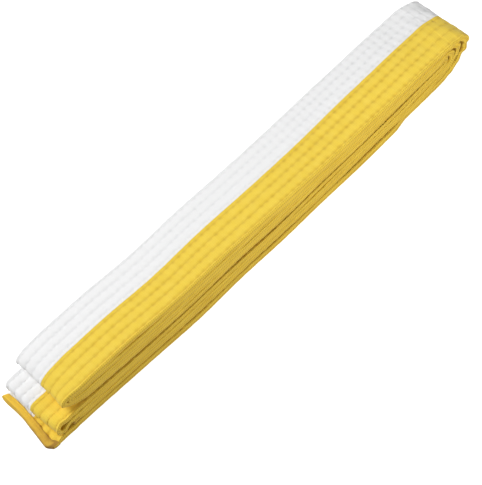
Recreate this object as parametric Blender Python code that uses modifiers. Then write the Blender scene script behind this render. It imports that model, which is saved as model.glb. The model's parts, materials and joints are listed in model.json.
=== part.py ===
"""Two-colour martial arts belt, folded flat three times into a bundle of eight layers.

Millimetres in the constants, metres in the scene. +X runs along the bundle to the nested far
fold, +Y to the white edge, +Z up. The origin is the middle of the underside.

The belt is one long quilted strip: a white cover and a yellow cover meet at a centre seam around
one padded core, and rows of lockstitch run along each half. It is modelled as the nine lengths
that the folds divide it into. Walking along the belt from its bottom end, side A is always on
the right hand, and side A is the side that shows the needle thread.
"""

import math

import bpy
from mathutils import Matrix, Vector

MM = 0.001

# The strip's cross-section
BELT_WIDTH = 40.0
LAYER_THICKNESS = 2.95
COVER_THICKNESS = 0.6
CORE_CLEARANCE = 0.2
SEAM_GAP = 0.3
EDGE_RADIUS = 0.8
STITCH_ROWS = (1.9, 7.2, 12.6, 18.0)  # distance of each row from the centre seam
GROOVE_HALF_WIDTH = 0.8
GROOVE_DEPTH = 0.45
THREAD_RADIUS = 0.15
THREAD_DEPTH = 0.17  # the thread's centre line under the strip's surface

# The folded bundle
LAYER_COUNT = 8
LAYER_GAP = 0.35
BUNDLE_LENGTH = 298.5
FAR_FOLD_TO_UPPER_LOOP = 263.5
FAR_FOLD_TO_LOWER_LOOP = 276.2
FAR_FOLD_TO_INNER_TAIL_END = 278.5
BINDING_LENGTH = 4.0
BINDING_ROUNDING = 0.35
BINDING_SEGMENTS = 2

# How far each piece of one length stops short of the line where the next length begins
CORE_INSET = 0.15
THREAD_INSET = 0.225
COVER_INSET = 0.53
# The same at an end binding, measured from the belt's tip
CORE_END_INSET = COVER_THICKNESS + 0.3
THREAD_END_INSET = BINDING_LENGTH + 0.3
COVER_END_INSET = BINDING_LENGTH + 0.6

WRAP_LEAD = 2.0  # straight run at each end of a far wrap, before it starts to turn
OUTER_WRAP_STEPS = 8
WRAP_STEPS = 6
THREAD_BEVEL_RESOLUTION = 0

PITCH = LAYER_THICKNESS + LAYER_GAP
STACK_HEIGHT = LAYER_COUNT * PITCH - LAYER_GAP
OUTER_WRAP_REACH = STACK_HEIGHT / 2
FAR_FOLD_X = BUNDLE_LENGTH / 2 - OUTER_WRAP_REACH
FAR_FOLD_Z = STACK_HEIGHT / 2
WRAP_LINE_X = FAR_FOLD_X - WRAP_LEAD
BOTTOM_TAIL_END_X = -BUNDLE_LENGTH / 2
INNER_TAIL_END_X = FAR_FOLD_X - FAR_FOLD_TO_INNER_TAIL_END
UPPER_LOOP_X = FAR_FOLD_X - FAR_FOLD_TO_UPPER_LOOP
LOWER_LOOP_X = FAR_FOLD_X - FAR_FOLD_TO_LOWER_LOOP

# Colour, roughness and metallic value of each kind of piece
LOOKS = {
    "white_cover": ((0.86, 0.86, 0.85, 1.0), 0.9, 0.0),
    "yellow_cover": ((0.84, 0.58, 0.06, 1.0), 0.88, 0.0),
    "core": ((0.80, 0.77, 0.68, 1.0), 0.95, 0.0),
    "white_stitching": ((0.80, 0.80, 0.79, 1.0), 0.75, 0.0),
    "yellow_stitching": ((0.72, 0.46, 0.04, 1.0), 0.75, 0.0),
    "end_binding": ((0.88, 0.45, 0.05, 1.0), 0.8, 0.0),
}


def clear_scene():
    for obj in list(bpy.data.objects):
        bpy.data.objects.remove(obj, do_unlink=True)


def new_collection(name, hidden=False):
    collection = bpy.data.collections.new(name)
    bpy.context.scene.collection.children.link(collection)
    collection.hide_render = hidden
    return collection


def material_for(name, look):
    colour, roughness, metallic = LOOKS[look]
    material = bpy.data.materials.new(name)
    material.use_nodes = True
    shader = material.node_tree.nodes["Principled BSDF"]
    shader.inputs["Base Color"].default_value = colour
    shader.inputs["Roughness"].default_value = roughness
    shader.inputs["Metallic"].default_value = metallic
    return material


def layer_z(layer):
    """Height of the middle of a layer, counting the bottom one as 0."""
    return LAYER_THICKNESS / 2 + layer * PITCH


# Centre lines. Each is a list of (x, z) points in millimetres.


def half_turn(centre_x, from_layer, to_layer, side, steps):
    """The corners of a half circle from one layer to another; side is +1 where it bulges to +X.

    The corners lie on the polygon that touches the circle, so the straight runs meet it squarely.
    """
    low, high = layer_z(from_layer), layer_z(to_layer)
    centre_z = (low + high) / 2
    step = math.pi / steps
    radius = (high - low) / 2 / math.cos(step / 2)
    angles = [(i + 0.5) * step for i in range(steps)]
    reach = side * abs(radius)
    return [(centre_x + reach * math.sin(a), centre_z - radius * math.cos(a)) for a in angles]


def far_wrap(from_layer, to_layer, steps, inset):
    start = (WRAP_LINE_X + inset, layer_z(from_layer))
    end = (WRAP_LINE_X + inset, layer_z(to_layer))
    return [start, *half_turn(FAR_FOLD_X, from_layer, to_layer, 1, steps), end]


def near_loop(centre_x, from_layer, to_layer, inset):
    start = (WRAP_LINE_X - inset, layer_z(from_layer))
    end = (WRAP_LINE_X - inset, layer_z(to_layer))
    return [start, *half_turn(centre_x, from_layer, to_layer, -1, WRAP_STEPS), end]


def bottom_tail(inset, end_inset):
    z = layer_z(0)
    return [(BOTTOM_TAIL_END_X + end_inset, z), (WRAP_LINE_X - inset, z)]


def inner_tail(inset, end_inset):
    z = layer_z(1)
    return [(WRAP_LINE_X - inset, z), (INNER_TAIL_END_X + end_inset, z)]


# The nine lengths in order along the belt, each a function of the insets at its ends.
LENGTHS = {
    "bottom_tail": bottom_tail,
    "far_wrap_outermost": lambda inset, _: far_wrap(0, 7, OUTER_WRAP_STEPS, inset),
    "upper_loop_outer": lambda inset, _: near_loop(UPPER_LOOP_X, 7, 4, inset),
    "far_wrap_innermost": lambda inset, _: far_wrap(4, 3, WRAP_STEPS, inset),
    "lower_loop": lambda inset, _: near_loop(LOWER_LOOP_X, 3, 2, inset),
    "far_wrap_third": lambda inset, _: far_wrap(2, 5, WRAP_STEPS, inset),
    "upper_loop_inner": lambda inset, _: near_loop(UPPER_LOOP_X, 5, 6, inset),
    "far_wrap_second": lambda inset, _: far_wrap(6, 1, WRAP_STEPS, inset),
    "inner_tail": inner_tail,
}


# Cross-sections. Each is a closed list of (a, y): a is the distance from the middle of the
# strip towards side A, and y is the distance across the belt towards its white edge.


def cover_section(sign):
    """One half's cover: a sleeve open at the centre seam, with a groove on side A at each row."""
    half = LAYER_THICKNESS / 2
    edge = BELT_WIDTH / 2
    pocket = half - COVER_THICKNESS
    points = [(pocket, SEAM_GAP / 2), (half, SEAM_GAP / 2)]
    for row in STITCH_ROWS:
        points += [
            (half, row - GROOVE_HALF_WIDTH),
            (half - GROOVE_DEPTH, row),
            (half, row + GROOVE_HALF_WIDTH),
        ]
    points += [
        (half, edge - EDGE_RADIUS),
        (half - EDGE_RADIUS, edge),
        (EDGE_RADIUS - half, edge),
        (-half, edge - EDGE_RADIUS),
        (-half, SEAM_GAP / 2),
        (-pocket, SEAM_GAP / 2),
        (-pocket, edge - COVER_THICKNESS),
        (pocket, edge - COVER_THICKNESS),
    ]
    # Both halves run the same way round, so that their faces point outwards.
    return [(a, sign * y) for a, y in points[::sign]]


def core_section():
    thick = LAYER_THICKNESS / 2 - COVER_THICKNESS - CORE_CLEARANCE
    wide = BELT_WIDTH / 2 - COVER_THICKNESS - CORE_CLEARANCE
    return [(thick, -wide), (thick, wide), (-thick, wide), (-thick, -wide)]


def poly_spline(curve, points):
    spline = curve.splines.new("POLY")
    spline.points.add(len(points) - 1)
    for target, point in zip(spline.points, points):
        target.co = (*[MM * value for value in point], 1.0)
    return spline


def profile_object(name, section, guides):
    """A closed outline that a centre line can carry as its bevel."""
    curve = bpy.data.curves.new(name, "CURVE")
    curve.dimensions = "2D"
    curve.fill_mode = "NONE"
    spline = poly_spline(curve, [(a, -y, 0.0) for a, y in section])
    spline.use_cyclic_u = True
    profile = bpy.data.objects.new(name, curve)
    profile.hide_render = True
    profile.display_type = "WIRE"
    guides.objects.link(profile)
    return profile


def from_far_fold(x, z):
    """A point in the side view, measured from the far fold's axis."""
    return x - FAR_FOLD_X, z - FAR_FOLD_Z


def sweep(name, look, path, profile, parts):
    """A strip of the given profile along a path in the side view, its origin on the far fold."""
    curve = bpy.data.curves.new(name, "CURVE")
    curve.dimensions = "2D"
    curve.bevel_mode = "OBJECT"
    curve.bevel_object = profile
    curve.use_fill_caps = True
    poly_spline(curve, [(*from_far_fold(x, z), 0.0) for x, z in path])
    return add_part(name, look, curve, parts, lying=False)


def add_part(name, look, curve, parts, lying):
    obj = bpy.data.objects.new(name, curve)
    obj.location = (FAR_FOLD_X * MM, 0.0, FAR_FOLD_Z * MM)
    if not lying:
        obj.rotation_euler = (math.pi / 2, 0.0, 0.0)
    curve.materials.append(material_for(name, look))
    parts.objects.link(obj)
    return obj


def side_a_line(path, distance):
    """The path moved towards side A, which is on its right hand, keeping each corner's angle."""
    points = [Vector(point) for point in path]
    directions = [(b - a).normalized() for a, b in zip(points, points[1:])]
    corners = [directions[0]]
    corners += [(a + b).normalized() for a, b in zip(directions, directions[1:])]
    corners.append(directions[-1])
    rights = [Vector((d.y, -d.x)) for d in corners]
    return [point + right * distance for point, right in zip(points, rights)]


def stitching(name, look, path, sign, parts):
    """One thread that runs along every row of a half, turning round at the ends of the length."""
    line = side_a_line(path, LAYER_THICKNESS / 2 - THREAD_DEPTH)
    points = []
    for number, row in enumerate(STITCH_ROWS):
        run = line if number % 2 == 0 else line[::-1]
        for x, z in run:
            local_x, local_z = from_far_fold(x, z)
            points.append((local_x, sign * row, local_z))
    curve = bpy.data.curves.new(name, "CURVE")
    curve.dimensions = "3D"
    curve.bevel_depth = THREAD_RADIUS * MM
    curve.bevel_resolution = THREAD_BEVEL_RESOLUTION
    curve.use_fill_caps = True
    poly_spline(curve, points)
    return add_part(name, look, curve, parts, lying=True)


def box(name, size, centre, collection):
    bpy.ops.mesh.primitive_cube_add(size=1.0)
    obj = bpy.context.object
    obj.name = name
    obj.data.transform(Matrix.Diagonal([*[MM * value for value in size], 1.0]))
    obj.location = [MM * value for value in centre]
    for owner in list(obj.users_collection):
        owner.objects.unlink(obj)
    collection.objects.link(obj)
    return obj


def end_binding(name, tip_x, layer, parts, guides):
    """A folded tape around the belt's end: a rounded box with a pocket for the end of the core."""
    z = layer_z(layer)
    size = (BINDING_LENGTH, BELT_WIDTH, LAYER_THICKNESS)
    tape = box(name, size, (tip_x + BINDING_LENGTH / 2, 0.0, z), parts)
    bevel = tape.modifiers.new("rounding", "BEVEL")
    bevel.width = BINDING_ROUNDING * MM
    bevel.segments = BINDING_SEGMENTS
    inside = [value - 2 * COVER_THICKNESS for value in size]
    inside[0] = BINDING_LENGTH
    pocket_x = tip_x + COVER_THICKNESS + BINDING_LENGTH / 2
    pocket = box(f"{name}_pocket", inside, (pocket_x, 0.0, z), guides)
    pocket.hide_render = True
    pocket.display_type = "WIRE"
    cut = tape.modifiers.new("pocket", "BOOLEAN")
    cut.operation = "DIFFERENCE"
    cut.solver = "EXACT"
    cut.object = pocket
    tape.data.materials.append(material_for(name, "end_binding"))
    return tape


def build():
    clear_scene()
    parts = new_collection("martial_arts_belt")
    guides = new_collection("guides", hidden=True)
    white_profile = profile_object("white_cover_profile", cover_section(1), guides)
    yellow_profile = profile_object("yellow_cover_profile", cover_section(-1), guides)
    core_profile = profile_object("core_profile", core_section(), guides)
    for name, path in LENGTHS.items():
        cover_path = path(COVER_INSET, COVER_END_INSET)
        core_path = path(CORE_INSET, CORE_END_INSET)
        thread_path = path(THREAD_INSET, THREAD_END_INSET)
        sweep(f"{name}_white_cover", "white_cover", cover_path, white_profile, parts)
        sweep(f"{name}_yellow_cover", "yellow_cover", cover_path, yellow_profile, parts)
        sweep(f"{name}_core", "core", core_path, core_profile, parts)
        stitching(f"{name}_white_stitching", "white_stitching", thread_path, 1, parts)
        stitching(f"{name}_yellow_stitching", "yellow_stitching", thread_path, -1, parts)
    end_binding("bottom_tail_end_binding", BOTTOM_TAIL_END_X, 0, parts, guides)
    end_binding("inner_tail_end_binding", INNER_TAIL_END_X, 1, parts, guides)


build()
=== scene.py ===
"""Looks of the two-colour martial arts belt, folded flat into a bundle of eight layers.

The belt is one long quilted strip. Its centre line is walked once from the bottom end to the inner
end, and every piece is a stretch of that walk: covers, padding, threads and end tapes all follow the
same line and the same unevenness, so that they stay inside one another.

A point of the strip is (s, a, y): the distance walked, the distance off the centre line towards
side A, which faces down at the start, and the place across the width, white where y is positive.
Lengths are in millimetres until a mesh is made.
"""

import json
import math

import bpy
import numpy as np
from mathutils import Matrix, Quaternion, Vector


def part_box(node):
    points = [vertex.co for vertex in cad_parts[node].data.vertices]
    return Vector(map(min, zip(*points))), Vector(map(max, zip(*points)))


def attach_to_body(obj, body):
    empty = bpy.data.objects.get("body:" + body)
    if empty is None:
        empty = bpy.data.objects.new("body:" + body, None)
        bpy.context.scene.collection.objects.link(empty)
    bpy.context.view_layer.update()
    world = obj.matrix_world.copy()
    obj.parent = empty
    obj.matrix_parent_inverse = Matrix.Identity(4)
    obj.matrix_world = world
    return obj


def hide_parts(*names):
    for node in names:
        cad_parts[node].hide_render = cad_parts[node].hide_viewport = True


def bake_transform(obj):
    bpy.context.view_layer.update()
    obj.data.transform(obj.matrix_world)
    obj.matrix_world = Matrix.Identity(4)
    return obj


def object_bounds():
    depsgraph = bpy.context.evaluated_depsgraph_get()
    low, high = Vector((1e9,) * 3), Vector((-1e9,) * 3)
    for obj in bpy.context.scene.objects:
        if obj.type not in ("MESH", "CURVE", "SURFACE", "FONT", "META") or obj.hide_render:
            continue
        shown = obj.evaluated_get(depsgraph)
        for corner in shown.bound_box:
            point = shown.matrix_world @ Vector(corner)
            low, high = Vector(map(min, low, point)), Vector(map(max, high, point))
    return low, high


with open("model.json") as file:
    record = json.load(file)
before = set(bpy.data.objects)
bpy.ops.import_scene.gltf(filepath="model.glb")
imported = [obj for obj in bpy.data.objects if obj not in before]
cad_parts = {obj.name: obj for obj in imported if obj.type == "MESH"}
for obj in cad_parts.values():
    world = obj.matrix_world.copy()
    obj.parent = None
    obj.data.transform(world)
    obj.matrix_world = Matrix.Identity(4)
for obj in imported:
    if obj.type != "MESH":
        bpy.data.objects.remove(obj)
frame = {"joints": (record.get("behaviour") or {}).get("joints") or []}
CAD_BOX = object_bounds()

MM = 0.001


def cad_box(node):
    low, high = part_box(node)
    return np.array(low) / MM, np.array(high) / MM


# What the CAD model fixes
LOW, HIGH = (np.array(corner) / MM for corner in CAD_BOX)
LENGTH, HEIGHT, HALF_WIDTH = HIGH[0] - LOW[0], HIGH[2] - LOW[2], HIGH[1]
AXIS_X, _, AXIS_Z = (value / MM for value in frame["joints"][0]["pos_m"])
OPENING = math.radians(frame["joints"][0]["range_deg"][1])
TAPE_LENGTH, _, LAYER_THICKNESS = np.diff(cad_box("bottom_tail_end_binding"), axis=0)[0]
PITCH = (HEIGHT - LAYER_THICKNESS) / 7
UPPER_LOOP_TIP = cad_box("upper_loop_outer_yellow_cover")[0][0]
INNER_LOOP_TIP = cad_box("upper_loop_inner_yellow_cover")[0][0]
LOWER_LOOP_TIP = cad_box("lower_loop_yellow_cover")[0][0]
INNER_TAIL_TIP = cad_box("inner_tail_end_binding")[0][0]

# The eight layers from the bottom up: height of the middle against an even stack, and half thickness
LAYER_SHIFT = (0.38, 0.82, 0.14, -0.42, 0.08, -0.02, -0.07, -0.12)
LAYER_HALF = (1.85, 1.25, 1.35, 1.28, 1.53, 1.54, 1.54, 1.57)
LAYER_Z = [LAYER_THICKNESS / 2 + PITCH * k + shift for k, shift in enumerate(LAYER_SHIFT)]


def smooth_step(t):
    t = np.clip(t, 0, 1)
    return t * t * (3 - 2 * t)


def hump(distance, wide):
    """1 at distance 0, falling to nothing a few times this width away."""
    return np.exp(-((distance / wide) ** 2))


def waves(seed, period, *coords):
    """Smooth, repeatable unevenness of about -1 to 1: a few crossing waves."""
    rng = np.random.default_rng(seed)
    total = 0.0
    for _ in range(5):
        direction = rng.normal(size=len(coords))
        direction /= np.linalg.norm(direction)
        wavelength = period * rng.uniform(0.7, 1.6)
        along = sum(c * d for c, d in zip(coords, direction))
        total = total + np.sin(2 * np.pi * along / wavelength + rng.uniform(0, 2 * np.pi))
    return total / 3


# The belt's centre line, as (x, z, direction x, direction z) samples


def straight(x_from, x_to, layer):
    sign = np.sign(x_to - x_from)
    return [(x_from, LAYER_Z[layer], sign, 0.0), (x_to, LAYER_Z[layer], sign, 0.0)]


def turn(centre_x, reach, from_layer, to_layer):
    """Half an ellipse from one layer to another; a negative reach turns at the near end."""
    low, high = LAYER_Z[from_layer], LAYER_Z[to_layer]
    middle, radius = (low + high) / 2, (high - low) / 2
    return [
        (
            centre_x + reach * math.sin(a),
            middle - radius * math.cos(a),
            reach * math.cos(a),
            radius * math.sin(a),
        )
        for a in np.linspace(0, math.pi, 65)
    ]


# Far turns: from layer, to layer, then how far from the joint's axis the strip's middle reaches and
# where the turn starts. The leg before it ends FAR_LEAD short of that, and the next one starts there.
FAR_TURNS = {
    "outermost": (0, 7, 10.6, -5.0),
    "innermost": (4, 3, -4.0, -5.65),
    "third": (2, 5, -0.2, -5.0),
    "second": (6, 1, 5.1, -5.0),
}
FAR_LEAD = {"outermost": 2.0, "innermost": 3.2, "third": 2.5, "second": 2.0}


def far_turn(name):
    from_layer, to_layer, tip, start = FAR_TURNS[name]
    return turn(AXIS_X + start, tip - start, from_layer, to_layer)


def far_leg_x(name):
    return AXIS_X + FAR_TURNS[name][3] - FAR_LEAD[name]


INNER_TAIL_TUCK = 7.5  # the hidden end sits this much deeper than its CAD node
INNER_LOOP_TUCK = 0.4  # and the upper fold's inner loop this much
LOWER_LOOP_OUT = 1.8  # the lower fold stands this much further out
UPPER_REACH, INNER_REACH, LOWER_REACH = 7.0, 1.65, 1.6  # of the near turns
OUTER_TURN_X = UPPER_LOOP_TIP + LAYER_HALF[7] + UPPER_REACH
INNER_TURN_X = INNER_LOOP_TIP + INNER_LOOP_TUCK + LAYER_HALF[6] + INNER_REACH
LOWER_TURN_X = LOWER_LOOP_TIP - LOWER_LOOP_OUT + LAYER_HALF[3] + LOWER_REACH

# The whole walk, in order
WALK = [
    ("bottom_tail", straight(LOW[0], far_leg_x("outermost"), 0)),
    ("far_wrap_outermost", far_turn("outermost")),
    (
        "upper_loop_outer",
        straight(far_leg_x("outermost"), OUTER_TURN_X, 7)
        + turn(OUTER_TURN_X, -UPPER_REACH, 7, 4)
        + straight(OUTER_TURN_X, far_leg_x("innermost"), 4),
    ),
    ("far_wrap_innermost", far_turn("innermost")),
    (
        "lower_loop",
        straight(far_leg_x("innermost"), LOWER_TURN_X, 3)
        + turn(LOWER_TURN_X, -LOWER_REACH, 3, 2)
        + straight(LOWER_TURN_X, far_leg_x("third"), 2),
    ),
    ("far_wrap_third", far_turn("third")),
    (
        "upper_loop_inner",
        straight(far_leg_x("third"), INNER_TURN_X, 5)
        + turn(INNER_TURN_X, -INNER_REACH, 5, 6)
        + straight(INNER_TURN_X, far_leg_x("second"), 6),
    ),
    ("far_wrap_second", far_turn("second")),
    ("inner_tail", straight(far_leg_x("second"), INNER_TAIL_TIP + INNER_TAIL_TUCK, 1)),
]


def walk_belt():
    """Arrays of distance, x, z and direction angle along the whole belt, and each length's span."""
    samples, marks = [], []
    for name, points in WALK:
        marks.append((name, len(samples)))
        samples += points
    x, z, dx, dz = np.array(samples).T
    distance = np.concatenate([[0], np.cumsum(np.hypot(np.diff(x), np.diff(z)))])
    distance += np.arange(len(distance)) * 1e-9  # so that no two samples share a distance
    angle = np.unwrap(np.arctan2(dz, dx))
    starts = [distance[i] for _, i in marks]
    spans = {}
    for (name, _), start, end in zip(marks, starts, [*starts[1:], distance[-1]]):
        spans[name] = [start, end]
    # A turn's first sample sits a lead beyond the leg's last one, so the leg's end is the border.
    for i, (name, first) in enumerate(marks):
        if name.startswith("far_wrap"):
            spans[name][0] = distance[first - 1]
            spans[marks[i - 1][0]][1] = distance[first - 1]
            spans[name][1] = distance[marks[i + 1][1]]
    return distance, x, z, angle, spans


DISTANCE, PATH_X, PATH_Z, PATH_ANGLE, SPANS = walk_belt()
BELT_LENGTH = DISTANCE[-1]
BOTTOM_END, TOP_START = SPANS["bottom_tail"][1], SPANS["upper_loop_outer"][0]
FAR_TIP = (BOTTOM_END + TOP_START) / 2
LOWER_TURN_AT = SPANS["lower_loop"][0] + far_leg_x("innermost") - LOWER_TURN_X


def within(s, name):
    start, end = SPANS[name]
    return (s > start) & (s < end)


def steepness(s):
    """0 where the strip lies flat and 1 at the tip of a turn."""
    return np.sin(np.interp(s, DISTANCE, PATH_ANGLE)) ** 2


def in_far_turn(s):
    """1 at the tip of a far turn and 0 outside the far turns."""
    inside = np.zeros_like(s)
    for name in FAR_TURNS:
        inside = np.where(within(s, f"far_wrap_{name}"), 1.0, inside)
    return inside * steepness(s)


# Half thickness of the strip along the belt: the layer's, more at the tips of the far turns, and less
# inside the end tapes, where it tapers between two distances from the end. Layers in walking order:
LAYERS_OF = {
    "bottom_tail": (0,),
    "upper_loop_outer": (7, 4),
    "lower_loop": (3, 2),
    "upper_loop_inner": (5, 6),
    "inner_tail": (1,),
}
FAR_PUFF = {"far_wrap_outermost": 0.7, "far_wrap_second": 0.7, "far_wrap_third": 0.55}
PUFF_WAVE = 0.16
LAYER_END = 0.5  # a layer has its own thickness up to this far from its ends
END_HALF = 0.98
END_TAPER = (3.6, 6.5)


def half_thickness_line():
    """Distances and half thicknesses to interpolate between: each layer's, near its two ends."""
    at, value = [], []
    for name, layers in LAYERS_OF.items():
        start, end = SPANS[name]
        leg = (end - start) / (1 if len(layers) == 1 else 3)
        for layer, (leg_from, leg_to) in zip(layers, ((start, start + leg), (end - leg, end))):
            at += [leg_from + LAYER_END, leg_to - LAYER_END]
            value += [LAYER_HALF[layer]] * 2
    return at, value


HALF_AT, HALF_VALUE = half_thickness_line()


def half_thickness(s):
    half = np.interp(s, HALF_AT, HALF_VALUE)
    steep = steepness(s)
    for name, puff in FAR_PUFF.items():
        half = half + steep * np.where(within(s, name), puff + PUFF_WAVE * waves(7, 6, s), 0)
    from_end = np.minimum(s, BELT_LENGTH - s)
    share = smooth_step((from_end - END_TAPER[0]) / (END_TAPER[1] - END_TAPER[0]))
    return END_HALF + (half - END_HALF) * share


# Unevenness of the whole bundle, as functions of place. The real belt is bowed and its far end sags.
BOW, BOW_WAVE, LAYER_WAVE = 3.17, 0.3, 0.3
HEIGHT_WAVE, LENGTH_WAVE = 0.28, 0.35
NEAR_SCALE, FAR_SCALE = 1.006, 0.975  # of the height
WHITE_DROP_NEAR, WHITE_DROP_FAR = -0.4, 3.4
YELLOW_DROP_FAR, YELLOW_MIDDLE_LIFT, YELLOW_DROP_FROM, YELLOW_DROP_OVER = 2.4, 1.0, 0.0, 90.0
FAR_SAG_FROM, FAR_LIFT_FROM = 44.0, 27.0  # from the far tip
FAR_TOP_SAG, FAR_BOTTOM_LIFT, FAR_TIP_RISE = 3.2, 3.4, 1.0
FAR_WHITE_OUT, FAR_CROWN = 2.2, 1.0
FAR_CORNER_IN, FAR_CORNER_FROM = 2.0, 16.0
NEAR_SAG_FROM, NEAR_TOP_SAG = 20.0, 2.6
CORNER_OUT, CORNER_TUCK, CORNER_LIFT, CORNER_OVER = 1.4, 1.9, 1.4, 14.0  # upper fold, yellow side
DROOP, DROOP_FROM, DROOP_OVER = 3.0, -134.5, 8.5  # of the lower fold's outer end
CRUMPLE, CRUMPLE_REACH = 0.38, 26.0  # at both ends of the bundle
EDGE_CRUMPLE, FAR_PINCH = 0.45, 0.7
TAIL_OUT, TAIL_OUT_OVER = 2.4, 12.0
CURL_LENGTH = 7.6
CURL_WHITE, CURL_YELLOW, CURL_POWER = math.radians(50), math.radians(-5), 1.5
# How far the yellow edge stands out along the belt: (distance, mm)
EDGE_LANE = np.array(
    [
        (0, 0.5),
        (BOTTOM_END - 40, 0.7),
        (BOTTOM_END - 32, -0.7),
        (BOTTOM_END, 0.2),
        (BOTTOM_END + 20, 0.7),
        (TOP_START, 0.9),
        (TOP_START + 110, 0.7),
        (TOP_START + 190, 0.0),
        (SPANS["far_wrap_innermost"][0] - 10, -0.1),
        (SPANS["far_wrap_innermost"][1] + 30, 0.0),
        (SPANS["far_wrap_innermost"][1] + 150, 0.2),
        (SPANS["far_wrap_innermost"][1] + 250, 0.45),
        (SPANS["far_wrap_third"][0] - 30, 0.3),
        (SPANS["far_wrap_third"][1] + 20, 0.0),
        (SPANS["far_wrap_second"][0], 0.0),
        (SPANS["far_wrap_second"][1] + 30, 0.35),
    ]
)


def curl_tail(x, y, z, s):
    """The end that sticks out curls up at its white corner."""
    beyond = np.maximum(CURL_LENGTH - s, 0)
    across = np.clip((y + HALF_WIDTH) / (2 * HALF_WIDTH), 0, 1)
    angle = CURL_YELLOW + (CURL_WHITE - CURL_YELLOW) * across**CURL_POWER
    bend = np.where(np.abs(angle) < 1e-4, 1e-4, angle) / CURL_LENGTH
    turned = bend * beyond
    off = z - LAYER_Z[0]
    pivot = LOW[0] + CURL_LENGTH
    curled_x = pivot - np.sin(turned) / bend + off * np.sin(turned)
    curled_z = LAYER_Z[0] + (1 - np.cos(turned)) / bend + off * np.cos(turned)
    inside = s < CURL_LENGTH
    return np.where(inside, curled_x, x), np.where(inside, curled_z, z)


def towards_far_tip(x, over):
    """0 up to this far before the far tip, rising to 1 at it."""
    return smooth_step((x - (HIGH[0] - over)) / over)


def uneven(x, y, z, s):
    """Where a point of the even stack lies in the real bundle."""
    x, z = curl_tail(x, y, z, s)
    across = y / HALF_WIDTH
    along = np.clip((x - LOW[0]) / LENGTH, 0, 1)
    rise = np.clip(z / HEIGHT, 0, 1)
    upper = np.clip((z - HEIGHT / 2) / (HEIGHT / 2), 0, 1)
    white, yellow = np.clip(across, 0, 1.05), np.clip(-across, 0, 1.05)
    far, tip = towards_far_tip(x, FAR_SAG_FROM), towards_far_tip(x, FAR_LIFT_FROM)
    far_half = smooth_step((x - YELLOW_DROP_FROM) / YELLOW_DROP_OVER)
    near = smooth_step((UPPER_LOOP_TIP + NEAR_SAG_FROM - x) / NEAR_SAG_FROM)
    ends = smooth_step((np.abs(x) - (LENGTH / 2 - CRUMPLE_REACH)) / CRUMPLE_REACH)
    corner = smooth_step((yellow - 0.4) / 0.6) * (upper > 0)
    corner = corner * smooth_step((UPPER_LOOP_TIP + CORNER_OVER - x) / CORNER_OVER)

    new_z = z * (NEAR_SCALE + (FAR_SCALE - NEAR_SCALE) * along)
    new_z -= (WHITE_DROP_NEAR + (WHITE_DROP_FAR - WHITE_DROP_NEAR) * along) * white**1.3 * rise
    new_z -= YELLOW_DROP_FAR * far_half * yellow**1.5 * rise**2
    new_z += YELLOW_MIDDLE_LIFT * far_half * yellow * 4 * rise * (1 - rise)
    new_z -= FAR_TOP_SAG * far * rise
    new_z += FAR_BOTTOM_LIFT * tip * (1 - rise) + FAR_TIP_RISE * tip
    new_z -= NEAR_TOP_SAG * near * upper
    new_z += CORNER_LIFT * corner * (1 - upper)
    new_z += HEIGHT_WAVE * waves(11, 70, x, y * 1.6) * rise
    new_z += CRUMPLE * ends * waves(15, 12, x, y, z) * (rise + tip * 0.7)
    round_turn = smooth_step((s - LOWER_TURN_AT) / (math.pi * LOWER_REACH))
    drooping = smooth_step((DROOP_FROM - x) / DROOP_OVER) * within(s, "lower_loop")
    new_z -= DROOP * round_turn * drooping

    new_y = y - BOW * (1 - (x / (LENGTH / 2)) ** 2)
    new_y += BOW_WAVE * waves(12, 110, x) + LAYER_WAVE * waves(13, 75, s)
    new_y -= np.interp(s, *EDGE_LANE.T) * np.clip(0.5 - 0.5 * across, 0, 1) ** 1.5
    new_y += CORNER_TUCK * corner
    new_y += EDGE_CRUMPLE * ends * waves(17, 7, s) * np.minimum(across, 0.3) ** 5
    new_y -= FAR_CORNER_IN * towards_far_tip(x, FAR_CORNER_FROM) * white**5
    new_y += FAR_PINCH * in_far_turn(s) * waves(18, 6, s) * yellow**6

    new_x = x + LENGTH_WAVE * waves(14, 26, y, s * 0.02) - CORNER_OUT * corner
    new_x += tip * (FAR_WHITE_OUT * white**1.5 + FAR_CROWN * (1 - across**2))
    new_x += CRUMPLE * ends * waves(16, 14, x, y, z)
    bulge = smooth_step(0.2 - across) * (1 - 0.8 * smooth_step((yellow - 0.82) / 0.2))
    new_x -= TAIL_OUT * bulge * smooth_step(1 - s / TAIL_OUT_OVER)
    return new_x, new_y, new_z


def place(s, a, y):
    """Points of the strip in the row frame, mm."""
    x, z = np.interp(s, DISTANCE, PATH_X), np.interp(s, DISTANCE, PATH_Z)
    angle = np.interp(s, DISTANCE, PATH_ANGLE)
    return np.stack(uneven(x + a * np.sin(angle), y, z - a * np.cos(angle), s), -1)


# The quilted surface. Sign is 1 for the white half and -1 for the yellow one.
STITCH_ROWS = (1.9, 7.2, 12.6, 18.0)  # from the centre seam
STITCH_LENGTH = 4.08
ROW_PHASE = {1: (-2.8, -4.0, -3.0, -3.0), -1: (-3.7, -2.7, -1.8, 0.0)}  # radians
FEED_WAVE = 0.45  # mm, as the cloth is never fed quite evenly
STITCH_WAVE = 0.18  # radians, as no two rows are quite in step
GROOVE_DEPTH, GROOVE_WIDE = 0.2, 1.05
HOLE_DEPTH, HOLE_WIDE, HOLE_SHARPNESS = 0.48, 0.8, 1.5  # the dimple at each needle hole
SEAM_DEPTH, SEAM_WIDE, SEAM_HALF_GAP = 0.08, 0.4, 0.05
PUCKER = {1: 0.11, -1: 0.06}  # cross-wrinkles between the rows, one a stitch
RUMPLE = 0.06
QUILT_END, QUILT_FADE = 0.3, 1.3  # how far from the edge the quilting ends, and over what width
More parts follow.
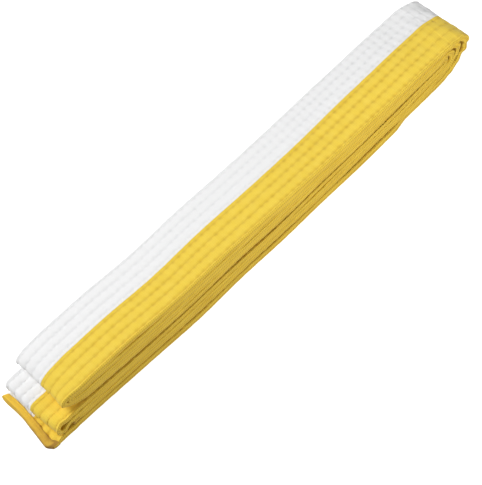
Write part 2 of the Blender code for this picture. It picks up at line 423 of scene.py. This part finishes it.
# Shares by which the quilting is flatter, and over what length
NEAR_TURN_FLAT = 0.45
STRETCHED_FLAT, STRETCHED_OVER = 0.35, 60.0  # drawn tight over the far tip
NEAR_FLAT, NEAR_FLAT_OVER = 0.25, 190.0
# The covers' edges: half round, squared off, with a crease along the middle
EDGE_RADIUS, TOP_EDGE_RADIUS, EDGE_SQUARE = 0.5, 1.3, 0.75
TOP_EDGE_FADE, TOP_EDGE_PAST = 30.0, 10.0
EDGE_GIRTH = 3.2  # how much of the cloth's width goes round the edge
EDGE_POINTS = 9
EDGE_WAVE, CREASE_DEPTH, CREASE_WIDE = 0.06, 0.14, 0.12
# Painted shade on the edges: in the crease, on the flanks of turns and beside the open gaps
CREASE_SHADE, FLANK_SHADE, GAP_SHADE = 0.55, 0.3, 1.2
FULL_SHADE = 0.6  # depth in mm that counts as a fully dark groove
# The core's pocket inside the covers, the least cloth over it, and how loosely the core lies in it
POCKET_DEPTH, POCKET_POINTS, POCKET_LEAST = 0.85, 7, 0.1
SKIN_LEAST = 0.12
CORE_LOOSE, CORE_NARROWER = 0.1, 0.25
OTHER_FACE = 0.37  # one face has the other's pattern from this share of the belt further on
# Points across the flat face, about each row and last of all
FINE_OFFSETS = (-1.65, -1.0, -0.5, 0.0, 0.5, 1.0, 1.65)
COARSE_OFFSETS = (-1.2, 0.0, 1.2)
LAST_FLAT = STITCH_ROWS[-1] + 0.4
# A thread's middle lies a little above the surface, and dips at each needle hole.
THREAD_RADIUS, THREAD_LIFT, THREAD_DIP, THREAD_SHARPNESS = 0.14, 0.056, 0.5, 5


def fed_cloth(s):
    """Phase of the stitching at distance s."""
    return 2 * np.pi * (s + FEED_WAVE * waves(20, 60, s)) / STITCH_LENGTH


def needle_hole(s, row, sign, sharpness):
    """1 at each needle hole of a row and 0 between two."""
    phase = fed_cloth(s) + STITCH_WAVE * waves(21 + row, 25, s) + ROW_PHASE[sign][row]
    return (0.5 + 0.5 * np.cos(phase)) ** sharpness


def row_groove(across, s, row, sign):
    """Depth of the groove along one row at a distance across from it, deepest at each needle hole."""
    hole = needle_hole(s, row, sign, HOLE_SHARPNESS) * (1 + 0.25 * waves(61 + row, 9, s))
    hole = hole * (1.05 + 0.15 * waves(66, 140, s, across * 0.1))
    return GROOVE_DEPTH * hump(across, GROOVE_WIDE) + HOLE_DEPTH * hole * hump(across, HOLE_WIDE)


def surface_depth(y, s, sign):
    """How far the quilted surface lies under the strip's full thickness; y counts from the seam."""
    depth = SEAM_DEPTH * hump(y, SEAM_WIDE)
    for row, place_of_row in enumerate(STITCH_ROWS):
        depth = depth + row_groove(y - place_of_row, s, row, sign)
    between = np.interp(y, STITCH_ROWS, ROW_PHASE[sign])
    pucker = PUCKER[sign] * (1 + 0.7 * waves(67, 90, s, y * 2))
    depth = depth + pucker * (0.5 + 0.5 * np.cos(fed_cloth(s) + between))
    depth = depth + RUMPLE * (1 + waves(31 + (sign < 0), 11, s, y * 1.5))
    depth = depth * smooth_step((HALF_WIDTH - QUILT_END - y) / QUILT_FADE)
    depth = depth * (1 - NEAR_TURN_FLAT * (steepness(s) - in_far_turn(s)))
    depth = depth * (1 - STRETCHED_FLAT * smooth_step(1 - np.abs(s - FAR_TIP) / STRETCHED_OVER))
    from_near = np.interp(s, DISTANCE, PATH_X) - LOW[0]
    depth = depth * (1 - NEAR_FLAT * smooth_step(1 - from_near / NEAR_FLAT_OVER))
    return np.clip(depth, 0, POCKET_DEPTH - SKIN_LEAST)


def edge_radius(s):
    """The uppermost layer's edges are rounder than those pressed between others."""
    top_end = TOP_START + (SPANS["upper_loop_outer"][1] - TOP_START) / 2 + TOP_EDGE_PAST
    on_top = smooth_step((s - TOP_START + TOP_EDGE_FADE) / TOP_EDGE_FADE)
    on_top = on_top * smooth_step((top_end - s) / TOP_EDGE_FADE)
    rounder = np.maximum(on_top, 0.9 * in_far_turn(s) ** 0.5)
    return EDGE_RADIUS + (TOP_EDGE_RADIUS - EDGE_RADIUS) * rounder


def across_points(fineness):
    """Where the flat face has points, close together about each row of stitching."""
    offsets = FINE_OFFSETS if fineness == "fine" else COARSE_OFFSETS
    middles = (np.array(STITCH_ROWS[1:]) + np.array(STITCH_ROWS[:-1])) / 2
    points = [SEAM_HALF_GAP, *middles, LAST_FLAT]
    for row in STITCH_ROWS:
        points += [row + offset for offset in offsets]
    points = np.array(sorted(points))
    return points[(points >= SEAM_HALF_GAP) & (points < LAST_FLAT + 0.05)][None]


def beside_open_gap(s, round_edge):
    """1 on the edges beside the bundle's two open gaps, where shade is painted: layer 4 over 3, and
    layer 1 over 0.

    round_edge is the share of the way round the edge from side A to side B.
    """
    x = np.interp(s, DISTANCE, PATH_X)
    middle_from, middle_to = np.mean(SPANS["upper_loop_outer"]), np.mean(SPANS["lower_loop"])
    middle = (s > middle_from) & (s < middle_to)
    bottom = (s < BOTTOM_END) | (s > SPANS["inner_tail"][0])
    side_a = smooth_step((0.3 - round_edge) / 0.25) * (1 - 0.6 * smooth_step((x + 20) / 120))
    side_b = smooth_step((round_edge - 0.7) / 0.25)
    return middle * side_a + bottom * side_b


def edge_rings(s, half, radius):
    """Arrays of a, y, painted shade and share of the way round, for the covers' outer edge."""
    round_edge = np.linspace(0, 1, EDGE_POINTS + 2)[None, 1:-1]
    turn_by = math.pi * (0.5 - round_edge)
    off_middle = round_edge - 0.5
    crease = np.clip(hump(off_middle, CREASE_WIDE) * (0.5 + 0.5 * waves(42, 30, s)), 0, 1)
    a = half * np.sign(np.sin(turn_by)) * np.abs(np.sin(turn_by)) ** EDGE_SQUARE
    y = HALF_WIDTH - radius + radius * np.cos(turn_by) ** EDGE_SQUARE
    y = y + EDGE_WAVE * waves(41, 5.0, s, turn_by * 2) - CREASE_DEPTH * crease
    flank = smooth_step((np.abs(off_middle) - 0.15) / 0.3)
    flank = flank * FLANK_SHADE * (steepness(s) + in_far_turn(s))
    shade = np.maximum(CREASE_SHADE * crease, flank)
    shade = np.maximum(shade, GAP_SHADE * beside_open_gap(s, round_edge))
    return a, y, shade, round_edge


def cover_rings(s, sign, fineness):
    """Arrays, a row a station, of the sleeve's closed outline: a, y, painted shade and width around.
    """
    s = s[:, None]
    ones = np.ones_like(s)
    radius, half = edge_radius(s), half_thickness(s)
    flat = np.hstack([across_points(fineness) * ones, HALF_WIDTH - radius])
    depth_a = surface_depth(flat, s, sign)
    depth_b = surface_depth(flat, s + OTHER_FACE * BELT_LENGTH, sign)
    edge_a, edge_y, edge_shade, round_edge = edge_rings(s, half, radius)
    lining = np.linspace(SEAM_HALF_GAP, HALF_WIDTH - POCKET_DEPTH, POCKET_POINTS)[None] * ones
    wall = np.maximum(half - POCKET_DEPTH, POCKET_LEAST) + 0 * lining
    back = flat[:, ::-1]
    a = np.hstack([half - depth_a, edge_a, (depth_b - half)[:, ::-1], -wall, wall])
    y = np.hstack([flat, edge_y, back, lining, lining[:, ::-1]])
    around_edge = HALF_WIDTH + EDGE_GIRTH * round_edge * ones
    around_back = 2 * HALF_WIDTH + EDGE_GIRTH - back
    around = np.hstack([flat, around_edge, around_back, lining, lining[:, ::-1]])
    groove_and_shade = np.hstack([depth_a, edge_shade, depth_b[:, ::-1], 0 * wall, 0 * wall])
    return a, sign * y, np.clip(groove_and_shade / FULL_SHADE, 0, 2), sign * around


def core_rings(s):
    half = half_thickness(s)[:, None] - POCKET_DEPTH - CORE_LOOSE
    wide = HALF_WIDTH - POCKET_DEPTH - CORE_NARROWER
    side = np.array([1] * 5 + [-1] * 5)[None]
    a = half * side
    y = wide * np.array([-1, -0.5, 0, 0.5, 1, 1, 0.5, 0, -0.5, -1])[None] + 0 * a
    return a, y, 0 * a, y


def thread_rings(s, row, sign):
    """A thread lies up on the surface inside a stitch and goes down through it at each hole."""
    at = STITCH_ROWS[row]
    depth = surface_depth(np.array([[at]]), s[:, None], sign)[:, 0]
    dip = THREAD_DIP * needle_hole(s, row, sign, THREAD_SHARPNESS)
    middle = half_thickness(s) - depth + THREAD_LIFT - dip
    corner = np.arange(6) / 6 * 2 * np.pi
    a = middle[:, None] + THREAD_RADIUS * np.sin(corner)[None]
    y = sign * (at + THREAD_RADIUS * np.cos(corner)[None] + 0 * a)
    return a, y, 0 * a, y


# Meshes


def ring_faces(rings, size):
    """Quads between neighbouring rings of points, and the two end caps, as lists of point numbers."""
    i = np.arange(rings - 1)[:, None] * size
    j = np.arange(size)[None]
    k = (j + 1) % size
    quads = np.stack([i + j, i + k, i + size + k, i + size + j], -1).reshape(-1, 4)
    caps = [np.arange(size)[::-1], np.arange(size) + (rings - 1) * size]
    return quads, caps


def faces_outward(vertices, quads):
    corners = vertices[quads[:, [0, 1, 2, 0, 2, 3]]].reshape(-1, 3, 3)
    volume = np.einsum("ij,ij->i", corners[:, 0], np.cross(corners[:, 1], corners[:, 2]))
    return volume.sum() > 0


def make_mesh(name, points, groove_and_shade, stations, across):
    """A closed tube of rings. points is rings x ring size x 3, in millimetres."""
    rings, size, _ = points.shape
    vertices = points.reshape(-1, 3) * MM
    quads, caps = ring_faces(rings, size)
    if not faces_outward(vertices, quads):
        quads = quads[:, ::-1]
        caps = [cap[::-1] for cap in caps]
    loops = np.concatenate([quads.ravel(), *caps]).astype(np.int32)
    starts = np.concatenate([np.arange(len(quads)) * 4, len(quads) * 4 + np.array([0, size])])
    mesh = bpy.data.meshes.new(name)
    mesh.vertices.add(len(vertices))
    mesh.vertices.foreach_set("co", vertices.astype(np.float32).ravel())
    mesh.loops.add(len(loops))
    mesh.loops.foreach_set("vertex_index", loops)
    mesh.polygons.add(len(starts))
    mesh.polygons.foreach_set("loop_start", starts.astype(np.int32))
    mesh.update(calc_edges=True)
    smooth = np.ones(len(starts), bool)
    smooth[-2:] = False
    mesh.polygons.foreach_set("use_smooth", smooth)
    edge_ends = np.zeros(len(mesh.edges) * 2, np.int32)
    mesh.edges.foreach_get("vertices", edge_ends)
    ring_of = edge_ends.reshape(-1, 2) // size
    border = (ring_of[:, 0] == ring_of[:, 1]) & np.isin(ring_of[:, 0], (0, rings - 1))
    mesh.edges.foreach_set("use_edge_sharp", border)
    uv = mesh.uv_layers.new(name="strip")
    flat = np.stack([stations.ravel()[loops], across.ravel()[loops]], -1)
    uv.data.foreach_set("uv", flat.astype(np.float32).ravel())
    # Painted shade of the grooves and edges, which the materials read
    depth = mesh.attributes.new("groove_and_shade", "FLOAT", "POINT")
    depth.data.foreach_set("value", groove_and_shade.astype(np.float32).ravel())
    mesh.validate()
    return mesh


def add_piece(name, mesh, material, node):
    obj = bpy.data.objects.new(name, mesh)
    bpy.context.scene.collection.objects.link(obj)
    mesh.materials.append(material)
    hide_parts(node)
    return obj


def stations_between(start, end, step):
    return np.linspace(start, end, max(3, round((end - start) / step) + 1))


def swept(name, s, rings, material, node):
    a, y, groove_and_shade, around = rings
    s_grid = s[:, None] + 0 * a
    mesh = make_mesh(name, place(s_grid, a, y), groove_and_shade, s_grid, around)
    return add_piece(name, mesh, material, node)


def join(objs, name):
    """The first object with the others' meshes in it."""
    with bpy.context.temp_override(
        active_object=objs[0], selected_objects=objs, selected_editable_objects=objs
    ):
        bpy.ops.object.join()
    objs[0].name = name
    objs[0].data.name = name
    return objs[0]


# Materials. The "strip" UV map holds the distance along the belt and the place across it, in mm.


class Nodes:
    """Short calls for building one material's node tree."""

    def __init__(self, name):
        self.material = bpy.data.materials.new(name)
        self.material.use_nodes = True
        self.tree = self.material.node_tree
        self.shader = self.tree.nodes["Principled BSDF"]

    def add(self, kind, **settings):
        node = self.tree.nodes.new(kind)
        for key, value in settings.items():
            setattr(node, key, value)
        return node

    def feed(self, target, value):
        if hasattr(value, "is_output"):
            self.tree.links.new(value, target)
        else:
            target.default_value = value

    def math(self, operation, *values, clamp=False):
        node = self.add("ShaderNodeMath", operation=operation, use_clamp=clamp)
        for target, value in zip(node.inputs, values):
            self.feed(target, value)
        return node.outputs[0]

    def noise(self, vector, scale, detail=3.0, rough=0.55):
        node = self.add("ShaderNodeTexNoise")
        self.feed(node.inputs["Vector"], vector)
        node.inputs["Scale"].default_value = scale
        node.inputs["Detail"].default_value = detail
        node.inputs["Roughness"].default_value = rough
        return node.outputs["Fac"]

    def mix(self, share, first, second, kind="MIX"):
        node = self.add("ShaderNodeMix", data_type="RGBA", blend_type=kind)
        self.feed(node.inputs[0], share)
        self.feed(node.inputs[6], first)
        self.feed(node.inputs[7], second)
        return node.outputs[2]

    def wave(self, value, period, phase=0.0):
        """Sine of the value with this period, from 0 to 1."""
        angle = self.math("MULTIPLY_ADD", value, 2 * math.pi / period, phase)
        return self.math("MULTIPLY_ADD", self.math("SINE", angle), 0.5, 0.5)

    def grey(self, value):
        node = self.add("ShaderNodeCombineColor")
        for target in node.inputs:
            self.feed(target, value)
        return node.outputs[0]

    def strip(self):
        """The place on the strip as a vector, and its two parts: along and across."""
        uv = self.add("ShaderNodeUVMap", uv_map="strip").outputs[0]
        split = self.add("ShaderNodeSeparateXYZ")
        self.feed(split.inputs[0], uv)
        return uv, split.outputs[0], split.outputs[1]

    def relief(self, height, strength, distance_mm):
        bump = self.add("ShaderNodeBump")
        bump.inputs["Strength"].default_value = strength
        bump.inputs["Distance"].default_value = distance_mm * MM
        self.feed(bump.inputs["Height"], height)
        self.feed(self.shader.inputs["Normal"], bump.outputs[0])


def rgb(red, green, blue):
    """Linear colour of an sRGB one given from 0 to 255."""
    linear = []
    for value in (red / 255, green / 255, blue / 255):
        linear.append(value / 12.92 if value <= 0.04045 else ((value + 0.055) / 1.055) ** 2.4)
    return (*linear, 1.0)


RIB = 1.75  # the ribs' spacing, in spacings of the weave
PATCH_SCALE, FIBRE_SCALE = 0.22, 2.6


def cloth_material(
    name, light, deep, worn, weave=0.62, bump=0.35, groove_share=0.5, edge_share=0.0
):
    """Quilted cotton: fine weave with ribs, painted shade in the stitched grooves, worn in patches.

    The weave is its spacing in mm. groove_share and edge_share say how much of the deep colour
    the grooves and the strip's edge take, as painted shade; the ribs on the edge are weave.
    """
    n = Nodes(name)
    uv, along, across = n.strip()
    groove_and_shade = n.add("ShaderNodeAttribute", attribute_name="groove_and_shade").outputs["Fac"]
    cloth = n.math("MULTIPLY", n.wave(along, weave), n.wave(across, weave))
    rib = n.wave(n.math("MULTIPLY_ADD", across, 0.12, along), weave * RIB)
    ticks = n.math("MULTIPLY", rib, n.wave(across, weave * RIB))
    patches = n.noise(uv, PATCH_SCALE, 4.0)
    fibres = n.noise(uv, FIBRE_SCALE, 5.0, 0.7)
    edge_at = n.math("SUBTRACT", n.math("ABSOLUTE", across), HALF_WIDTH + EDGE_GIRTH / 2)
    edge = n.math("LESS_THAN", n.math("ABSOLUTE", edge_at), EDGE_GIRTH / 2)

    # Painted shade: the grooves and shaded edges are mixed towards the deep colour
    colour = n.mix(n.math("MULTIPLY", groove_and_shade, groove_share, clamp=True), light, deep)
    patch_share = n.math("MULTIPLY_ADD", patches, 1.6, -0.55, clamp=True)
    colour = n.mix(n.math("MULTIPLY", patch_share, 0.5), colour, worn)
    # Painted shade on the faces of the strip's edge, by edge_share
    colour = n.mix(n.math("MULTIPLY", edge, edge_share), colour, deep)
    colour = n.mix(n.math("MULTIPLY", n.math("MULTIPLY", ticks, edge), 0.5), colour, deep)
    rib_share = n.math("MULTIPLY_ADD", edge, 0.13, 0.05)
    shade = n.math("SUBTRACT", 1.07, n.math("MULTIPLY", ticks, rib_share))
    shade = n.math("MULTIPLY_ADD", cloth, -0.06, shade)
    shade = n.math("MULTIPLY", shade, n.math("MULTIPLY_ADD", fibres, 0.2, 0.9))
    n.feed(n.shader.inputs["Base Color"], n.mix(1.0, colour, n.grey(shade), "MULTIPLY"))

    n.feed(n.shader.inputs["Roughness"], n.math("MULTIPLY_ADD", fibres, 0.14, 0.82))
    n.shader.inputs["Sheen Weight"].default_value = 0.15
    n.shader.inputs["Sheen Roughness"].default_value = 0.5
    n.shader.inputs["Specular IOR Level"].default_value = 0.25
    height = n.math("ADD", n.math("MULTIPLY", cloth, 0.7), n.math("MULTIPLY", rib, 0.5))
    n.relief(n.math("ADD", height, n.math("MULTIPLY", fibres, 0.8)), bump, 0.2)
    return n.material


def thread_material(name, light, deep):
    """Twisted sewing thread: slanting plies, a little gloss."""
    n = Nodes(name)
    uv, along, across = n.strip()
    ply = n.wave(n.math("ADD", along, n.math("MULTIPLY", across, 1.4)), 0.45)
    fuzz = n.noise(uv, 3.0)
    share = n.math("MULTIPLY", ply, n.math("MULTIPLY_ADD", fuzz, 0.5, 0.5))
    n.feed(n.shader.inputs["Base Color"], n.mix(share, deep, light))
    n.feed(n.shader.inputs["Roughness"], n.math("MULTIPLY_ADD", fuzz, 0.2, 0.55))
    n.relief(ply, 0.4, 0.1)
    return n.material


WHITE = cloth_material(
    "white_cotton",
    rgb(245, 245, 245),
    rgb(224, 225, 227),
    rgb(249, 249, 248),
    groove_share=0.35,
)
YELLOW = cloth_material(
    "yellow_cotton",
    rgb(246, 213, 74),
    rgb(188, 136, 26),
    rgb(250, 222, 100),
    groove_share=0.36,
    edge_share=0.2,
)
PADDING = cloth_material(
    "padding",
    rgb(232, 226, 208),
    rgb(205, 197, 175),
    rgb(240, 236, 224),
    weave=1.3,
    bump=0.6,
)
# The tape's deep brown is the colour of its painted shade
TAPE = cloth_material(
    "orange_tape",
    rgb(255, 211, 72),
    rgb(148, 102, 46),
    rgb(255, 216, 84),
    weave=0.8,
    bump=0.5,
    groove_share=1.0,
)
# Both threads are painted a little lighter than their cloth, as painted light against the shade of
# the grooves they lie in
WHITE_THREAD = thread_material("white_thread", rgb(253, 253, 253), rgb(240, 240, 241))
YELLOW_THREAD = thread_material("yellow_thread", rgb(250, 214, 74), rgb(230, 188, 50))
HALVES = ((1, "white", WHITE, WHITE_THREAD), (-1, "yellow", YELLOW, YELLOW_THREAD))

# The belt's lengths: station step along, and point spacing across
FINE = (STITCH_LENGTH / 6, "fine")
MEDIUM = (STITCH_LENGTH / 4, "fine")
COARSE = (STITCH_LENGTH / 3, "coarse")
LENGTH_GRID = {
    "bottom_tail": MEDIUM,
    "upper_loop_outer": FINE,
    "lower_loop": MEDIUM,
    "upper_loop_inner": COARSE,
    "inner_tail": COARSE,
}
WRAP_GRID = (0.6, "fine")
THREAD_STEP, CORE_STEP = STITCH_LENGTH / 6, 1.5
BODY_OF = {
    "bottom_tail": "bottom_tail",
    "upper_loop_outer": "upper_stack",
    "upper_loop_inner": "upper_stack",
    "lower_loop": "lower_loop",
    "inner_tail": "inner_tail",
}
# How far each piece stops short of the belt's two ends
COVER_SHORT, CORE_SHORT, THREAD_SHORT = 1.0, 7.0, TAPE_LENGTH + 0.4
# How far a stretch goes on under the next one, and how much smaller it is there
LAP, LAP_START, LAP_THINNER, LAP_NARROWER = 0.9, 0.02, 0.96, 0.997


def tucked_under(s, border, rings):
    """The rings past the border made a little smaller, so that they lie under the next stretch."""
    a, y, groove_and_shade, around = rings
    past = (s > border + 1e-6)[:, None]
    return np.where(past, a * LAP_THINNER, a), np.where(past, y * LAP_NARROWER, y), groove_and_shade, around


def build_stretch(length, suffix, start, end, grid, attach, lap=0.0):
    """Covers, padding and threads of one stretch of the belt; attach is called on each piece."""
    step, fineness = grid
    at_start, at_end = start < 1, end > BELT_LENGTH - 1

    def stations(short, spacing):
        return stations_between(start + short * at_start, end - short * at_end, spacing)

    cover_s = stations(COVER_SHORT, step)
    if lap:
        cover_s = np.concatenate([cover_s, end + np.array([LAP_START, lap / 2, lap])])
    thread_s = stations(THREAD_SHORT, THREAD_STEP)
    core_s = stations(CORE_SHORT, min(CORE_STEP, step * 2))
    for sign, colour, cloth, thread in HALVES:
        half = f"{length}_{colour}"
        rings = tucked_under(cover_s, end, cover_rings(cover_s, sign, fineness))
        slot = f"{colour}_cover"
        attach(swept(f"{half}_cloth{suffix}", cover_s, rings, cloth, f"{half}_cover"))
        rows = []
        for row in range(len(STITCH_ROWS)):
            rings = thread_rings(thread_s, row, sign)
            name, slot, node = f"{half}_row{row}{suffix}", f"{colour}_thread", f"{half}_stitching"
            rows.append(swept(name, thread_s, rings, thread, node))
        attach(join(rows, f"{half}_threads{suffix}"))
    name, node = f"{length}_padding{suffix}", f"{length}_core"
    attach(swept(name, core_s, core_rings(core_s), PADDING, node))


# Far turns lie between two bodies. Each is cut into short stretches, each taking an even share of
# the turn's opening. First body, second body and number of stretches:
FAR_BODIES = {
    "far_wrap_outermost": ("bottom_tail", "upper_stack", 6),
    "far_wrap_innermost": ("upper_stack", "lower_loop", 10),
    "far_wrap_third": ("lower_loop", "upper_stack", 6),
    "far_wrap_second": ("upper_stack", "inner_tail", 6),
}


def turn_shares(length):
    """Distances along a far turn and the share of the opening that is taken up to each."""
    s = np.linspace(*SPANS[length], 400)
    if length == "far_wrap_innermost":  # it opens over the axis, so its share grows with distance
        return s, np.linspace(0, 1, len(s))
    points = place(s, 0 * s, 0 * s)
    bearing = np.unwrap(np.arctan2(points[:, 0] - AXIS_X, -(points[:, 2] - AXIS_Z)))
    turned = bearing if bearing[-1] > bearing[0] else -bearing
    even = np.linspace(turned[0], turned[-1] - OPENING, len(s))
    share = np.maximum.accumulate(np.clip((turned - even) / OPENING, 0, 1))
    share += np.linspace(0, 1e-6, len(s))
    return s, share / share[-1]


def build_far_turn(length):
    first, second, count = FAR_BODIES[length]
    s, share = turn_shares(length)
    borders = np.interp(np.linspace(0, 1, count + 1), share, s)
    borders[0], borders[-1] = SPANS[length]
    middles = place(borders, 0 * borders, 0 * borders)
    for i in range(count):
        def attach(piece):
            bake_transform(piece)

        lap = LAP if i < count - 1 else 0.0
        build_stretch(length, f"_{i + 1}", borders[i], borders[i + 1], WRAP_GRID, attach, lap)


def build_lengths():
    for length, body in BODY_OF.items():

        def attach(piece):
            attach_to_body(piece, body)

        build_stretch(length, "", *SPANS[length], LENGTH_GRID[length], attach)
    for length in FAR_BODIES:
        build_far_turn(length)


# End tapes: cloth folded round the belt's end, with a stitched groove across it
TAPE_HALF, TAPE_THICKNESS, TAPE_OVERHANG = 1.56, 0.5, 0.1
TAPE_NOSE, TAPE_INNER_NOSE = 1.2, 0.75  # from the tip to where the fold's bend ends
TAPE_POINTS = 97
TAPE_SEAM_AT, TAPE_SEAM_WIDE, TAPE_STITCH = 3.1, 0.4, 2.6
TAPE_SEAM_DEPTH, TAPE_HOLE_DEPTH, TAPE_WAVE, TAPE_RAGGED = 0.12, 0.14, 0.1, 0.18
TAPE_PINCH, TAPE_PINCH_FROM, TAPE_PINCH_OVER = 0.35, 1.2, 1.3  # where its own ends are sewn shut


def tape_outline():
    """(distance from the tip, a) of the tape's closed outline, and how many are on the outside."""
    side = np.linspace(TAPE_NOSE, TAPE_LENGTH, 8)
    outer = [(d, TAPE_HALF) for d in np.linspace(TAPE_LENGTH, TAPE_NOSE, 8)]
    nose = np.linspace(math.pi / 2, -math.pi / 2, 11)[1:-1]
    outer += [(TAPE_NOSE - TAPE_NOSE * math.cos(t), TAPE_HALF * math.sin(t)) for t in nose]
    outer += [(d, -TAPE_HALF) for d in side]
    inside = TAPE_HALF - TAPE_THICKNESS
    inner = [(TAPE_LENGTH, -inside), (TAPE_INNER_NOSE, -inside)]
    inner += [(TAPE_INNER_NOSE, inside), (TAPE_LENGTH, inside)]
    return np.array(outer + inner), len(outer)


def tape_painted_shade(distance, a, y, groove_and_shade, skin):
    """Painted shade on the tape: under its lower side, towards the yellow end, along its borders, in
    its seam and at its yellow corner.
    """
    underside_and_end_shade = hump(a / TAPE_HALF + 0.75, 0.4) * smooth_step((1.4 - distance) / 0.8)
    underside_and_end_shade = underside_and_end_shade * smooth_step((HALF_WIDTH - y) / (1.5 * HALF_WIDTH))
    underside_and_end_shade = np.maximum(underside_and_end_shade, 0.95 * smooth_step((HALF_WIDTH - 6 - y) / (2 * HALF_WIDTH)))
    lip = hump(distance, 0.3) + hump(distance - TAPE_LENGTH, 0.4)
    corner = smooth_step((-y - HALF_WIDTH + 2.2) / 1.6)
    return np.clip(groove_and_shade * 0.1 + 0.75 * underside_and_end_shade + 0.5 * lip * skin + 0.6 * corner, 0, 1)


def build_tape(name, at_start, body, node):
    outline, outer = tape_outline()
    half_long = HALF_WIDTH + TAPE_OVERHANG
    y = np.linspace(-half_long, half_long, TAPE_POINTS)[:, None]
    distance = outline[:, 0][None] + 0 * y
    a = outline[:, 1][None] + 0 * y
    skin = (np.arange(len(outline)) < outer)[None]
    groove_and_shade = hump(distance - TAPE_SEAM_AT, TAPE_SEAM_WIDE) * skin
    hole = (0.5 + 0.5 * np.cos(2 * np.pi * y / TAPE_STITCH)) ** 2
    push = TAPE_WAVE * waves(51, 6, y, distance * 2)
    push = push - groove_and_shade * (TAPE_SEAM_DEPTH + TAPE_HOLE_DEPTH * hole)
    pinch = smooth_step((np.abs(y) - HALF_WIDTH + TAPE_PINCH_FROM) / TAPE_PINCH_OVER)
    a = (a + np.sign(a) * push * skin) * (1 - TAPE_PINCH * pinch)
    ragged = TAPE_RAGGED * waves(52, 9, y)
    distance = np.where(distance > TAPE_LENGTH - 0.01, distance + ragged, distance)
    s = distance if at_start else BELT_LENGTH - distance
    y = y + 0 * a
    # Painted shade on the tape, mixed towards its deep brown
    painted_shade = tape_painted_shade(distance, a, y, groove_and_shade, skin)
    mesh = make_mesh(name, place(s, a, y), painted_shade, s, y)
    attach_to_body(add_piece(name, mesh, TAPE, node), body)


# The stage, in metres
FLOOR_SIZE, FLOOR_GAP = 6.0, 0.0001
FLOOR_SHADE, FLOOR_GLOW, SKY_STRENGTH = 0.46, 1.0, 0.3
LAMPS = (
    ("key", (-0.45, 0.65, 1.05), 0.8, 13.1),
    ("fill", (0.11, -0.33, 0.09), 0.2, 0.72),
)
CAMERA_AZIMUTH, CAMERA_ELEVATION, CAMERA_ROLL = (math.radians(v) for v in (-25.251, 54.23, 22.186))
CAMERA_TARGET = Vector((-13.15, -15.69, 13.0)) * MM
CAMERA_DISTANCE = 992.2 * MM
CAMERA_LENS, SENSOR_WIDTH = 148.45, 36.0  # in millimetres, as Blender takes them


def build_floor():
    """A pale floor. It glows only towards the camera, so it is seen white and lights nothing."""
    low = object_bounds()[0]
    bpy.ops.mesh.primitive_plane_add(size=FLOOR_SIZE, location=(0, 0, low.z - FLOOR_GAP))
    floor = bpy.context.object
    floor.name = "floor"
    n = Nodes("pale_floor")
    n.shader.inputs["Base Color"].default_value = (FLOOR_SHADE, FLOOR_SHADE, FLOOR_SHADE, 1)
    n.shader.inputs["Roughness"].default_value = 0.9
    n.shader.inputs["Emission Color"].default_value = (1, 1, 1, 1)
    seen = n.add("ShaderNodeLightPath").outputs["Is Camera Ray"]
    n.feed(n.shader.inputs["Emission Strength"], n.math("MULTIPLY", seen, FLOOR_GLOW))
    floor.data.materials.append(n.material)


def build_lights():
    world = bpy.context.scene.world or bpy.data.worlds.new("studio")
    bpy.context.scene.world = world
    world.use_nodes = True
    background = world.node_tree.nodes["Background"]
    background.inputs["Color"].default_value = (1, 1, 1, 1)
    background.inputs["Strength"].default_value = SKY_STRENGTH
    for name, location, size, power in LAMPS:
        light = bpy.data.lights.new(name, "AREA")
        light.size = size
        light.energy = power
        lamp = bpy.data.objects.new(name, light)
        lamp.location = location
        lamp.visible_camera = False
        lamp.rotation_mode = "QUATERNION"
        lamp.rotation_quaternion = (-Vector(location)).to_track_quat("-Z", "Y")
        bpy.context.scene.collection.objects.link(lamp)


def build_camera():
    data = bpy.data.cameras.new("camera")
    data.lens = CAMERA_LENS
    data.sensor_width = SENSOR_WIDTH
    data.clip_start = 0.05
    camera = bpy.data.objects.new("camera", data)
    flat = math.cos(CAMERA_ELEVATION)
    back_x, back_y = math.sin(CAMERA_AZIMUTH) * flat, -math.cos(CAMERA_AZIMUTH) * flat
    back = Vector((back_x, back_y, math.sin(CAMERA_ELEVATION)))
    camera.location = CAMERA_TARGET + back * CAMERA_DISTANCE
    camera.rotation_mode = "QUATERNION"
    level = (-back).to_track_quat("-Z", "Y")
    camera.rotation_quaternion = level @ Quaternion((0, 0, 1), -CAMERA_ROLL)
    bpy.context.scene.collection.objects.link(camera)
    bpy.context.scene.camera = camera


build_lengths()
build_tape("bottom_tail_end_tape", True, "bottom_tail", "bottom_tail_end_binding")
build_tape("inner_tail_end_tape", False, "inner_tail", "inner_tail_end_binding")
build_floor()
build_lights()
build_camera()
bpy.context.scene.view_settings.view_transform = "Standard"
